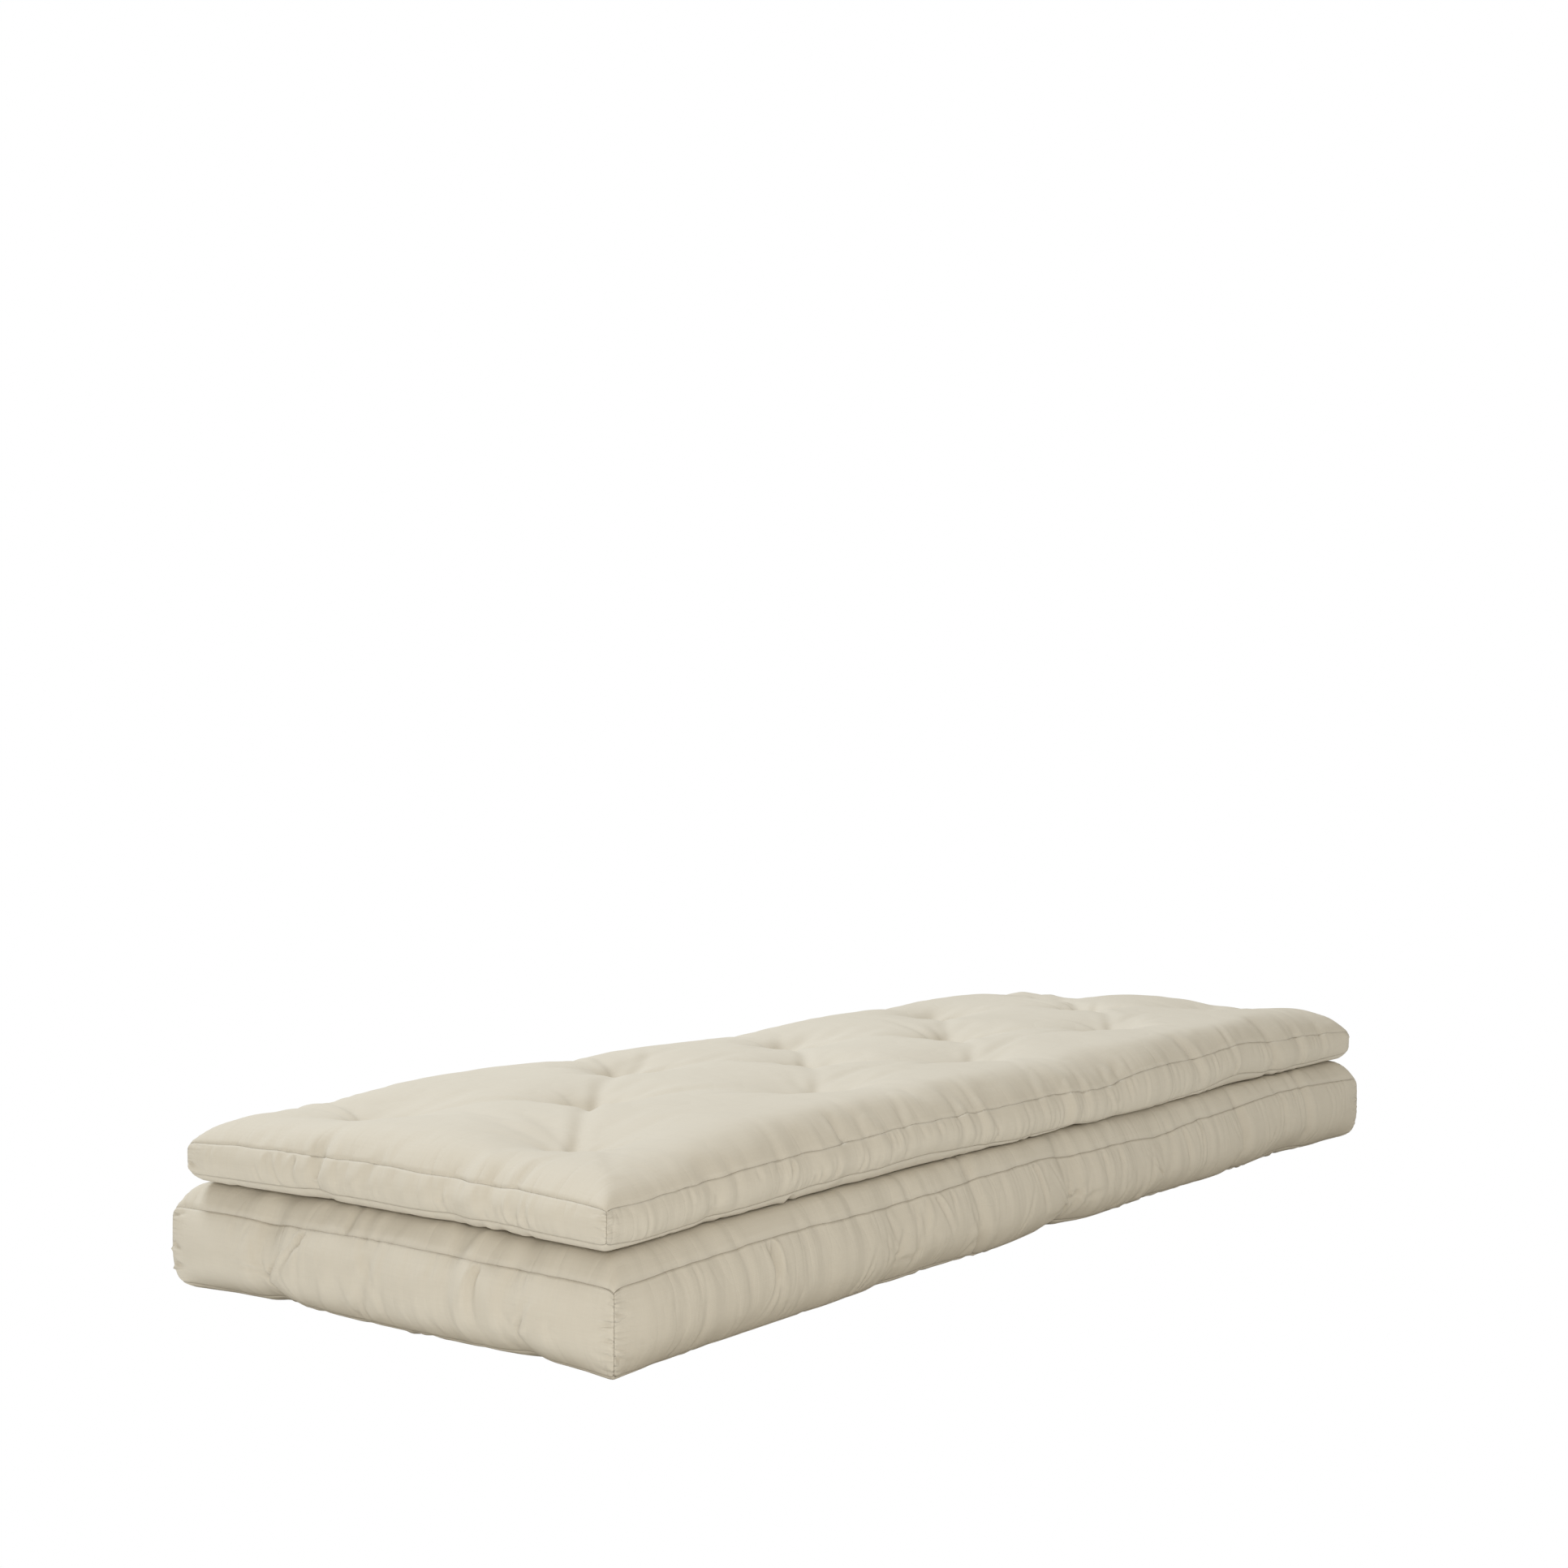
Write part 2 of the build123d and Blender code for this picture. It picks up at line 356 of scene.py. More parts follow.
def pleats(home, spec, waves, depth, reach, seed):
    """How far each vertex moves for the upright pleats, which fade inwards over the faces."""
    z0, z1 = spec["seams"]
    share = (home[:, 2] - z0) / (z1 - z0)
    up = np.where(share > 0.99, 1.0, np.where(share < 0.01, -1.0, 0.0))
    move = np.zeros_like(home)
    for side in (FRONT, BACK, FOOT, HEAD):
        along, inwards, out = side_outlook(home, spec, side)
        lean = along + 0.25 * inwards * np.where(up > 0, 1, 0)
        fold = ripple(lean, waves, seed + side)
        rim = np.exp(-np.maximum(inwards, 0) / reach)
        on_edge = (inwards < 1e-4)[:, None]
        ends = side_ends(home, spec, side)
        hold = np.clip(ends / 0.05, 0, 1)
        amount = (depth * fold * rim * hold * (0.35 + 0.65 * share))[:, None]
        move += np.where(on_edge, amount * out, amount * np.array([0, 0, 1.0]) * (up > 0)[:, None] * 0.8)
    return move


def bunched(s, seed, ends, quiet):
    """How firmly the cloth is gathered at each place along a seam: in bunches, and not near the ends."""
    bunch = np.clip(0.52 + 0.95 * ripple(s, BUNCH_WAVES, seed), 0.0, 1.5)
    return bunch * np.clip((ends - 0.015) / quiet, 0.0, 1.0)


def side_ends(home, spec, side):
    """The distance to the nearer end of one side."""
    (x0, y0), (x1, y1) = spec["low"], spec["high"]
    x, y = home[:, 0], home[:, 1]
    if side in (FRONT, BACK):
        return np.minimum(x - x0, x1 - x)
    return np.minimum(y - y0, y1 - y)


def tie_places(spec):
    """The ties' plan places, an outer row near each long side and a middle row between them."""
    outer = [(x, y) for x in spec["outer_x"] for y in (spec["front_y"], spec["back_y"])]
    return outer + [(x, spec["middle_y"]) for x in spec["middle_x"]]


def sewn_box(name, spec):
    """The casing as a closed box of near-square cells, with each face's panel as its material."""
    (x0, y0), (x1, y1) = spec["low"], spec["high"]
    z0, z1 = spec["seams"]
    size = Vector((x1 - x0, y1 - y0, z1 - z0))
    form = bmesh.new()
    bmesh.ops.create_cube(form, size=1.0)
    bmesh.ops.scale(form, vec=size, verts=form.verts)
    bmesh.ops.translate(form, vec=((x0 + x1) / 2, (y0 + y1) / 2, (z0 + z1) / 2), verts=form.verts)
    for axis in range(3):
        along = [
            e for e in form.edges if abs((e.verts[1].co - e.verts[0].co)[axis]) > size[axis] / 2
        ]
        cuts = max(round(size[axis] / CELL), 4) - 1
        bmesh.ops.subdivide_edges(form, edges=along, cuts=cuts, use_grid_fill=True)
    for face in form.faces:
        n = face.normal
        face.material_index = (
            (BOTTOM if n.z < 0 else TOP) if abs(n.z) > 0.5
            else (FRONT if n.y < 0 else BACK) if abs(n.y) > 0.5
            else (FOOT if n.x < 0 else HEAD)
        )
    mesh = bpy.data.meshes.new(name)
    form.to_mesh(mesh)
    form.free()
    return mesh


def points_of(mesh):
    """The mesh's vertices as an array."""
    flat = np.empty(len(mesh.vertices) * 3, np.float32)
    mesh.vertices.foreach_get("co", flat)
    return flat.reshape(-1, 3).astype(float)


def set_points(mesh, points):
    """Moves the mesh's vertices to an array's places."""
    mesh.vertices.foreach_set("co", points.astype(np.float32).ravel())
    mesh.update()


def crease_lines(spec):
    """The straight lines between neighbouring ties of the outer and middle rows."""
    places = tie_places(spec)
    outer, middle = places[: -len(spec["middle_x"])], places[-len(spec["middle_x"]):]
    return [(a, b) for a in middle for b in outer if math.dist(a, b) < CREASE_SPAN]


def line_near(x, y, first, last):
    """Each point's distance from a line, and how far along it the point's foot lies, 0 to 1."""
    run = np.array(last) - np.array(first)
    share = ((x - first[0]) * run[0] + (y - first[1]) * run[1]) / (run @ run)
    share = np.clip(share, 0, 1)
    return np.hypot(x - first[0] - share * run[0], y - first[1] - share * run[1]), share


def drawn_in(x, y, spec):
    """How much the ties draw in a face at each plan place: 1 at a tie, less along the creases."""
    total = np.zeros_like(x)
    for tie_x, tie_y in tie_places(spec):
        away = (x - tie_x) ** 2 + (y - tie_y) ** 2
        total += 0.56 * np.exp(-away / BROAD_WELL**2) + 0.44 * np.exp(-away / NARROW_WELL**2)
    for first, last in crease_lines(spec):
        away, share = line_near(x, y, first, last)
        total += 0.34 * (0.25 + 0.75 * (2 * share - 1) ** 2) * np.exp(-((away / CREASE_WIDTH) ** 2))
    return np.minimum(total, 1.08)


def stuffed_start(home, spec, with_wells):
    """The casing's shape before it is simulated: crowned faces, wavy seams and the ties' wells."""
    x, y, z = home.T
    (x0, y0), (x1, y1) = spec["low"], spec["high"]
    z0, z1 = spec["seams"]
    share = (z - z0) / (z1 - z0)
    across = np.clip((y - y0) / (y1 - y0), 0, 1)
    top = (1 - across) * smooth_line(x, spec["top_wave"])
    top += across * BACK_WAVE * smooth_line(-x, spec["top_wave"])
    low = (1 - across) * smooth_line(x, spec["low_wave"])
    low += across * BACK_WAVE * smooth_line(-x, spec["low_wave"])
    edge = np.minimum(np.minimum(x - x0, x1 - x), np.minimum(y - y0, y1 - y))
    inner = 1 - np.exp(-np.maximum(edge, 0) / spec["crown_reach"])
    fade = np.exp(-np.maximum(edge, 0) / WAVE_REACH)
    crown = spec["crown"] + spec["far_lift"] * eased((x - FAR_LIFT_FROM) / FAR_LIFT_RUN)
    lift = share * (top * fade + crown * inner)
    lift += (1 - share) * (low * fade - spec["sag"] * (1 - np.exp(-np.maximum(edge, 0) / ROLL_REACH)))
    if with_wells:
        low_well, top_well = spec["wells"]
        well = np.where(share > 0.99, -top_well, np.where(share < 0.01, low_well, 0))
        lift += well * drawn_in(x, y, spec)
    shape = np.column_stack([x, y, z + lift])
    for side in (FRONT, BACK, FOOT, HEAD):
        along, inwards, out = side_outlook(home, spec, side)
        ends = np.clip(side_ends(home, spec, side) / 0.09, 0, 1)
        round_out = 4 * share * (1 - share) * ends**0.5
        drawn = spec["tuck"] * (0.25 + 0.75 * ends) * np.clip(1 - share / ROLL_SHARE, 0, 1) ** 2
        drawn += spec["lean"] * ends * share**2
        tucked = drawn * np.exp(-np.maximum(inwards, 0) / 0.05)
        shape += (spec["bulge"] * round_out * (inwards < 1e-4) - tucked)[:, None] * out
    if with_wells:
        shape += pleats(home, spec, PLEAT_WAVES, PLEAT_DEPTH, PLEAT_REACH, 11)
        for side, place, depth in spec["pinches"]:
            along, inwards, out = side_outlook(home, spec, side)
            fold = depth / 1000.0 * np.exp(-(((along - place) / PINCH_WIDTH) ** 2))
            fold *= np.exp(-np.maximum(inwards, 0) / PLEAT_REACH)
            shape -= fold[:, None] * (out + np.where(share > 0.5, 0.5, -0.1)[:, None] * np.array([0, 0, 1.0]))
    return shape


def casing_object(name, spec):
    """The casing with its Cloth, its slack as the cloth's own size, and its ties pinned."""
    mesh = sewn_box(name, spec)
    home = points_of(mesh)
    start = stuffed_start(home, spec, True)
    middle = (home.min(0) + home.max(0)) / 2
    rest = middle + (stuffed_start(home, spec, False) - middle) * np.array(spec["slack"])
    set_points(mesh, start)
    casing = bpy.data.objects.new(name, mesh)
    bpy.context.scene.collection.objects.link(casing)
    casing.shape_key_add(name="Basis")
    slack = casing.shape_key_add(name="cut_size")
    slack.data.foreach_set("co", rest.astype(np.float32).ravel())
    slack.value = 0.0

    pins = casing.vertex_groups.new(name="pins")
    low, high = home.min(0), home.max(0)
    on_x = (np.abs(home[:, 0] - low[0]) < 1e-4) | (np.abs(home[:, 0] - high[0]) < 1e-4)
    on_y = (np.abs(home[:, 1] - low[1]) < 1e-4) | (np.abs(home[:, 1] - high[1]) < 1e-4)
    on_top = np.abs(home[:, 2] - high[2]) < 1e-4
    on_low = np.abs(home[:, 2] - low[2]) < 1e-4
    pins.add(np.nonzero((on_x | on_y) & (on_top | on_low))[0].tolist(), SEAM_PIN, "REPLACE")
    pins.add(np.nonzero(on_x & on_y)[0].tolist(), CORNER_PIN, "REPLACE")
    for tie_x, tie_y in tie_places(spec):
        for side in (on_top, on_low):
            reach = (home[:, 0] - tie_x) ** 2 + (home[:, 1] - tie_y) ** 2 + np.where(side, 0, 9.0)
            pins.add([int(i) for i in np.argsort(reach, kind="stable")[:2]], 1.0, "REPLACE")

    cloth = casing.modifiers.new("cloth", "CLOTH")
    settings = cloth.settings
    settings.quality = 7
    settings.mass = 0.3
    settings.tension_stiffness = 40.0
    settings.compression_stiffness = 40.0
    settings.shear_stiffness = 12.0
    settings.bending_stiffness = 0.05
    settings.tension_damping = 8.0
    settings.compression_damping = 8.0
    settings.shear_damping = 8.0
    settings.bending_damping = 0.8
    settings.air_damping = 2.0
    settings.effector_weights.gravity = 0.0
    settings.use_pressure = True
    settings.uniform_pressure_force = PRESSURE
    settings.vertex_group_mass = "pins"
    settings.pin_stiffness = 1.0
    settings.rest_shape_key = slack
    cloth.collision_settings.use_collision = False
    cloth.point_cache.frame_start = 1
    cloth.point_cache.frame_end = CLOTH_FRAMES
    return casing, home, start


def soft_cap(move, most):
    """Moves longer than most are eased back towards it."""
    size = np.linalg.norm(move, axis=1, keepdims=True)
    return move * most * np.tanh(size / most) / np.maximum(size, 1e-9)


def soft_floor(z, level, give=0.0015):
    """Heights below level are eased up to it."""
    over = (z - level) / give
    return level + give * np.where(over > 30, over, np.log1p(np.exp(np.minimum(over, 30))))


def underside(name, x):
    """The lowest a layer may reach at each place along its length."""
    place, width, height = STAND_OFF[name]
    ground = 0.0 if name == "base" else CONTACT_Z + 0.0008
    return ground + height * np.exp(-(((x - place) / width) ** 2))


made = {name: casing_object(name + "_casing", spec) for name, spec in CASINGS.items()}
for step in range(1, CLOTH_FRAMES + 1):
    bpy.context.scene.frame_set(step)

settled = {}
for name, (casing, home, start) in made.items():
    seen = casing.evaluated_get(bpy.context.evaluated_depsgraph_get())
    points = points_of(seen.data)
    drawn = np.minimum(drawn_in(home[:, 0], home[:, 1], CASINGS[name]), 1.0)
    points = start + soft_cap(points - start, (MOST_PUFF * (1 - 0.85 * drawn))[:, None])
    points[:, 2] = soft_floor(points[:, 2], underside(name, points[:, 0]))
    if name == "base":
        points[:, 2] = -soft_floor(-points[:, 2], -CONTACT_Z + 0.0004)
    else:
        topmost = TOPMOST_Z + TOPMOST_RISE * eased(np.abs(points[:, 0]) / TOPMOST_RUN)
        points[:, 2] = -soft_floor(-points[:, 2], -topmost, 0.0035)
    settled[name] = points

# ---------------------------------------------------------------------------------------------
# Panels. Each casing is six pieces of canvas: two faces and four borders. The settled shape is
# smoothed once and parted into them along the seams, and each piece then gets its own creases:
# gathers that start at its seams, and on the top face those that run out from the ties.

CANVAS_THICK = 0.0009
CORNER_CREASE, CORNER_SINK = 0.45, 0.0012
HEM_BACK, HEM_DEEP, THREAD_SINK = 0.0004, 0.0030, 0.75
SEAM_HOLD = 0.0035
SPARE_CUT = 1.02

# Folds that run over the top seam and down the border: how many per metre, and the deepest.
RIBS = {"base": (19, 0.0082), "topper": (25, 0.0064)}
RIB_WIDTH, RIB_REACH = (0.0050, 0.0095), (0.02, 0.10)
RIB_LIMITS, CREASE_LIMITS = (-0.0075, 0.0045), (-0.0070, 0.0045)

# Gathers from a seam: how many per metre, then the longest, the finest, the widest and the deepest.
FACE_GATHERS = (18, 0.10, 0.0055, 0.0095, 0.0060)
BASE_GATHERS = (30, 0.11, 0.0030, 0.0060, 0.0088)
TOPPER_GATHERS = (42, 0.055, 0.0028, 0.0050, 0.0068)
PUCKERS = (85, 0.045, 0.0026, 0.0036, 0.0062)
TIE_RAYS, TIE_RAY_LENGTH = 6, (0.06, 0.17)
TIE_RAY_WIDTH, TIE_RAY_DEPTH = (0.007, 0.011), (0.0025, 0.0060)
TIE_LINE_WIDTH, TIE_LINE_DEPTH = 0.0090, (0.004, 0.007)
PINCH_RAYS, PINCH_SPREAD, PINCH_ROOT = 9, 0.50, 0.30
PINCH_DEPTH, PINCH_RAY_WIDTH = (0.0035, 0.0062), (0.003, 0.006)
FIRMEST_PINCH = 12


def smoothed(mesh, scheme):
    """The mesh with each face parted in four, either rounded or left flat."""
    holder = bpy.data.objects.new("holder", mesh)
    bpy.context.scene.collection.objects.link(holder)
    levels = holder.modifiers.new("levels", "SUBSURF")
    levels.subdivision_type = scheme
    levels.boundary_smooth = "PRESERVE_CORNERS"
    levels.levels = levels.render_levels = 1
    depsgraph = bpy.context.evaluated_depsgraph_get()
    finer = bpy.data.meshes.new_from_object(holder.evaluated_get(depsgraph))
    bpy.data.objects.remove(holder)
    return finer


def seam_lines(places, home):
    """Which places on the flat box lie on a seam, and which of them on an upright corner."""
    low, high = home.min(0), home.max(0)
    on = (np.abs(places - low) < 1e-4) | (np.abs(places - high) < 1e-4)
    return on.sum(1) > 1, on[:, 0] & on[:, 1]


def crease_corners(mesh, home):
    """Keeps the upright corners of a box firmer than the rest when it is rounded."""
    ends = np.empty(len(mesh.edges) * 2, np.int32)
    mesh.edges.foreach_get("vertices", ends)
    _, corner = seam_lines(home[ends.reshape(-1, 2)].mean(1), home)
    crease = mesh.attributes.new("crease_edge", "FLOAT", "EDGE")
    crease.data.foreach_set("value", np.where(corner, CORNER_CREASE, 0.0).astype(np.float32))


def normals_of(mesh):
    """The mesh's vertex normals as an array."""
    flat = np.empty(len(mesh.vertices) * 3, np.float32)
    mesh.vertex_normals.foreach_get("vector", flat)
    return flat.reshape(-1, 3).astype(float)


def ribs(home, spec, name):
    """The folds that run over the top seam and down the borders, as a height along each normal."""
    z0, z1 = spec["seams"]
    rate, deepest = RIBS[name]
    share = (home[:, 2] - z0) / (z1 - z0)
    tall = z1 - z0
    height = np.zeros(len(home))
    for side in (FRONT, BACK, FOOT, HEAD):
        draw = np.random.default_rng(300 + side + len(name))
        along, inwards, _ = side_outlook(home, spec, side)
        place = np.nonzero(((inwards < 1e-4) | (share > 0.99) | (share < 0.01)) & (inwards < 0.15))[0]
        s, up, gap = along[place], share[place], inwards[place]
        down = np.where(up > 0.99, -gap, np.where(up < 0.01, tall + gap, (1 - up) * tall))
        hold = bunched(s, 50 + side, side_ends(home, spec, side)[place], spec["quiet"])
        hold *= np.clip(0.25 + 3.0 * up, 0, 1)
        for _ in range(round((s.max() - s.min()) * rate)):
            at, lean, bend = draw.uniform(s.min(), s.max()), draw.normal(0, 0.20), draw.normal(0, 1.6)
            width, reach = draw.uniform(*RIB_WIDTH), draw.uniform(*RIB_REACH)
            depth, stop = deepest * draw.uniform(0.15, 1.0) ** 1.3, tall * draw.uniform(0.35, 1.3)
            across = (s - at - lean * down - bend * down**2) / width
            share_in = np.clip((down + reach) / reach, 0, 1)
            share_out = np.clip((stop + 0.02 - down) / 0.03, 0, 1)
            firm = share_in**1.5 * share_out * hold * depth
            lip = 0.45 * np.exp(-(((across - 2.1) / 1.4) ** 2))
            height[place] += firm * (lip - np.exp(-(np.abs(across) ** 1.2)))
    return np.clip(height, *RIB_LIMITS)


def add_crease(height, cut, root, turn, length, bend, width, depth):
    """Adds one crease to a flat cut: a groove that runs from its root, with a puffed lip beside it."""
    away = cut - root
    near = np.nonzero(np.abs(away).max(1) < length + 4 * width)[0]
    away = away[near]
    run = away[:, 0] * math.cos(turn) + away[:, 1] * math.sin(turn)
    off = away[:, 1] * math.cos(turn) - away[:, 0] * math.sin(turn) - bend * run**2
    share = np.clip(run / length, 0, 1)
    across = off / (width * (0.75 + 0.5 * share))
    lip = np.exp(-(((np.abs(across) - 1.9) / 1.2) ** 2)) * np.where(across > 0, 0.55, 0.2)
    start = 1 - np.exp(-((np.maximum(run, 0) / width) ** 2))
    height[near] += depth * (lip - np.exp(-(np.abs(across) ** 1.3))) * (1 - share) ** 1.2 * start


def add_gathers(height, cut, first, last, turn, style, draw, quiet):
    """Adds creases that start along one seam of a flat cut, bunched along it unless quiet is 0."""
    rate, longest, finest, widest, deepest = style
    first, last = np.array(first), np.array(last)
    run = float(np.abs(last - first).sum())
    places = draw.uniform(0, run, round(run * rate))
    firmness = np.ones(len(places))
    if quiet:
        firmness = bunched(places, draw.integers(1000), np.minimum(places, run - places), quiet)
    for place, firm in zip(places, firmness):
        root = first + (last - first) * (place / run)
        lean = turn + draw.normal(0, 0.24)
        length = longest * draw.uniform(0.3, 1.0)
        depth = deepest * firm * draw.uniform(0.1, 1.0) ** 1.3
        add_crease(height, cut, root, lean, length, draw.normal(0, 2.0), draw.uniform(finest, widest), depth)


def tie_creases(height, cut, spec, draw):
    """Adds the creases that run out from each tie, the firmest of them towards its neighbours."""
    for place in tie_places(spec):
        for ray in range(TIE_RAYS):
            turn = (ray + draw.uniform(-0.35, 0.35)) * 2 * math.pi / TIE_RAYS
            length, width = draw.uniform(*TIE_RAY_LENGTH), draw.uniform(*TIE_RAY_WIDTH)
            add_crease(
                height, cut, place, turn, length, draw.normal(0, 1.6), width, draw.uniform(*TIE_RAY_DEPTH)
            )
    for first, last in crease_lines(spec):
        for root, end in ((first, last), (last, first)):
            turn = math.atan2(end[1] - root[1], end[0] - root[0])
            length = math.dist(root, end) * draw.uniform(0.5, 0.75)
            bend, depth = draw.normal(0, 0.5), draw.uniform(*TIE_LINE_DEPTH)
            add_crease(height, cut, root, turn, length, bend, TIE_LINE_WIDTH, depth)


def pinch_creases(height, cut, spec, panel, draw):
    """Adds the creases that fan out from each place where a border is pinched."""
    z0, z1 = spec["seams"]
    for side, place, firm in spec["pinches"]:
        if side != panel:
            continue
        root = (place, z0 + (z1 - z0) * PINCH_ROOT)
        for ray in range(PINCH_RAYS):
            up = math.pi / 2 if ray < PINCH_RAYS * 0.6 else -math.pi / 2
            turn = up + draw.normal(0, PINCH_SPREAD)
            length = (z1 - z0) * draw.uniform(0.5, 1.0)
            depth = firm / FIRMEST_PINCH * draw.uniform(*PINCH_DEPTH)
            bend, width = draw.normal(0, 4.0), draw.uniform(*PINCH_RAY_WIDTH)
            add_crease(height, cut, root, turn, length, bend, width, depth)


def cut_of(home, panel):
    """Where each vertex lies on the flat cut of its panel, in metres."""
    if panel in (BOTTOM, TOP):
        return home[:, :2]
    return home[:, [0, 2]] if panel in (FRONT, BACK) else home[:, 1:]


def seam_distances(cut):
    """How far each place on a flat cut is from its long seams, and from its end seams."""
    low, high = cut.min(0), cut.max(0)
    gap = np.minimum(cut - low, high - cut)
    return gap[:, ::-1]


def creased(points, normals, home, spec, panel, style, seed):
    """The panel's points, moved along their normals by its creases."""
    draw = np.random.default_rng(seed)
    cut = cut_of(home, panel)
    (u0, v0), (u1, v1) = cut.min(0), cut.max(0)
    height = np.zeros(len(cut))
    ends = style if panel in (BOTTOM, TOP) else PUCKERS
    quiet = spec["quiet"]
    end_quiet = quiet if panel in (BOTTOM, TOP) else 0.0
    add_gathers(height, cut, (u0, v0), (u1, v0), math.pi / 2, style, draw, quiet)
    add_gathers(height, cut, (u0, v1), (u1, v1), -math.pi / 2, style, draw, quiet)
    add_gathers(height, cut, (u0, v0), (u0, v1), 0.0, ends, draw, end_quiet)
    add_gathers(height, cut, (u1, v0), (u1, v1), math.pi, ends, draw, end_quiet)
    if panel == TOP:
        tie_creases(height, cut, spec, draw)
    pinch_creases(height, cut, spec, panel, draw)
    height *= 1 - np.exp(-((seam_distances(cut).min(1) / SEAM_HOLD) ** 2))
    return points + normals * np.clip(height, *CREASE_LIMITS)[:, None]


def parted(whole, panel):
    """One panel's faces of a whole box, as a mesh of their own."""
    form = bmesh.new()
    form.from_mesh(whole)
    others = [f for f in form.faces if f.material_index != panel]
    bmesh.ops.delete(form, geom=others, context="FACES")
    for face in form.faces:
        face.material_index = 0
        face.smooth = True
    mesh = bpy.data.meshes.new(PANELS[panel])
    form.to_mesh(mesh)
    form.free()
    return mesh


def hemmed(mesh):
    """The mesh with a second ring of vertices on its open edge, for the hem that is turned in."""
    form = bmesh.new()
    form.from_mesh(mesh)
    bmesh.ops.extrude_edge_only(form, edges=[e for e in form.edges if e.is_boundary])
    form.to_mesh(mesh)
    form.free()
    return mesh


def way_out(home, low, high):
    """The sum of the ways out of the flat box's sides that each place lies on."""
    return (np.abs(home - high) < 1e-4) * 1.0 - (np.abs(home - low) < 1e-4) * 1.0


def unit(ways):
    """Ways of length 1."""
    return ways / np.maximum(np.linalg.norm(ways, axis=1, keepdims=True), 1e-9)


def lay_out(mesh, cut):
    """Gives the mesh its flat cut and its distances from the seams as UV maps."""
    corners = np.empty(len(mesh.loops), np.int32)
    mesh.loops.foreach_get("vertex_index", corners)
    for layer, values in (("cut", cut), ("rim", seam_distances(cut))):
        mesh.uv_layers.new(name=layer).data.foreach_set("uv", values[corners].astype(np.float32).ravel())


def apply_modifiers(piece):
    """Makes what the piece's modifiers give its own mesh."""
    depsgraph = bpy.context.evaluated_depsgraph_get()
    final = bpy.data.meshes.new_from_object(piece.evaluated_get(depsgraph))
    piece.modifiers.clear()
    piece.data = final


def canvas_panel(name, flat, shaped, home_box, spec, panel, style, nodes, seed):
    """One creased piece of canvas, thickened inwards, and the area of its cloth."""
    mesh, plan = parted(shaped, panel), parted(flat, panel)
    if panel not in (BOTTOM, TOP):
        mesh, plan = smoothed(mesh, "CATMULL_CLARK"), smoothed(plan, "SIMPLE")
    seam_count = len(mesh.vertices)
    mesh, plan = hemmed(mesh), hemmed(plan)
    home = points_of(plan)
    points = creased(points_of(mesh), normals_of(mesh), home, spec, panel, style, seed)
    out = way_out(home, home_box[0], home_box[1])
    back = out.copy()
    back[:, {BOTTOM: 2, TOP: 2, FRONT: 1, BACK: 1, FOOT: 0, HEAD: 0}[panel]] = 0.0
    turned = np.arange(len(home)) >= seam_count
    points -= np.where(turned[:, None], unit(out) * HEM_DEEP, unit(back) * HEM_BACK)
    layer = "base" if spec is CASINGS["base"] else "topper"
    highest = CONTACT_Z if layer == "base" else TOPMOST_Z + TOPMOST_RISE
    points[:, 2] = np.clip(points[:, 2], underside(layer, points[:, 0]), highest)
    set_points(mesh, points)
    lay_out(mesh, cut_of(home, panel))
    mesh.materials.clear()
    mesh.materials.append(canvas if panel in (BOTTOM, TOP) else border_canvas)
    area = sum(face.area for face in mesh.polygons)
    piece = bpy.data.objects.new(name, mesh)
    bpy.context.scene.collection.objects.link(piece)
    wall = piece.modifiers.new("wall", "SOLIDIFY")
    wall.thickness = CANVAS_THICK
    wall.offset = -1.0
    apply_modifiers(piece)
    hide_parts(*nodes)
    return piece, area


def bend_at_fold(piece, casing_name):
    """Bakes the piece's transform into its mesh."""
    casing_name + "_foot"
    casing_name + "_head"
    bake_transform(piece)


bpy.context.scene.frame_set(1)
wholes = {}
for name, (casing, home, _) in made.items():
    spec = CASINGS[name]
    bpy.data.objects.remove(casing)
    flat = sewn_box(name + "_flat", spec)
    shaped = sewn_box(name + "_shaped", spec)
    set_points(shaped, settled[name])
    crease_corners(shaped, home)
    flat, shaped = smoothed(flat, "SIMPLE"), smoothed(shaped, "CATMULL_CLARK")
    fine_home, points = points_of(flat), points_of(shaped)
    seam, corner = seam_lines(fine_home, fine_home)
    sink = np.where(corner, CORNER_SINK, np.where(seam, spec["seam_sink"], 0.0))
    points = points + normals_of(shaped) * (ribs(fine_home, spec, name) - sink)[:, None]
    set_points(shaped, points)
    home_box = (fine_home.min(0), fine_home.max(0))
    hem = unit(way_out(fine_home, *home_box)) * HEM_DEEP * THREAD_SINK
    wholes[name] = (points - np.where(seam[:, None], hem, 0.0), fine_home)

    (x0, y0), (x1, y1) = spec["low"], spec["high"]
    both = (name + "_foot_", name + "_head_")
    seed = 100 if name == "base" else 200
    edge_style = BASE_GATHERS if name == "base" else TOPPER_GATHERS
    for panel in (BOTTOM, TOP, FRONT, BACK):
        style = FACE_GATHERS if panel in (BOTTOM, TOP) else edge_style
        nodes = [half + PANELS[panel] for half in both]
        label = f"{name}_{PANELS[panel]}"
        piece, area = canvas_panel(label, flat, shaped, home_box, spec, panel, style, nodes, seed + panel)
        bend_at_fold(piece, name)
        long = (x1 - x0) * SPARE_CUT
        area / long
    for panel, half in ((FOOT, both[0]), (HEAD, both[1])):
        label = f"{name}_{PANELS[panel]}"
        nodes = [half + "end_border"]
        piece, area = canvas_panel(label, flat, shaped, home_box, spec, panel, edge_style, nodes, seed + panel)
        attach(piece, half[:-1])
        long = (y1 - y0) * SPARE_CUT
        area / long

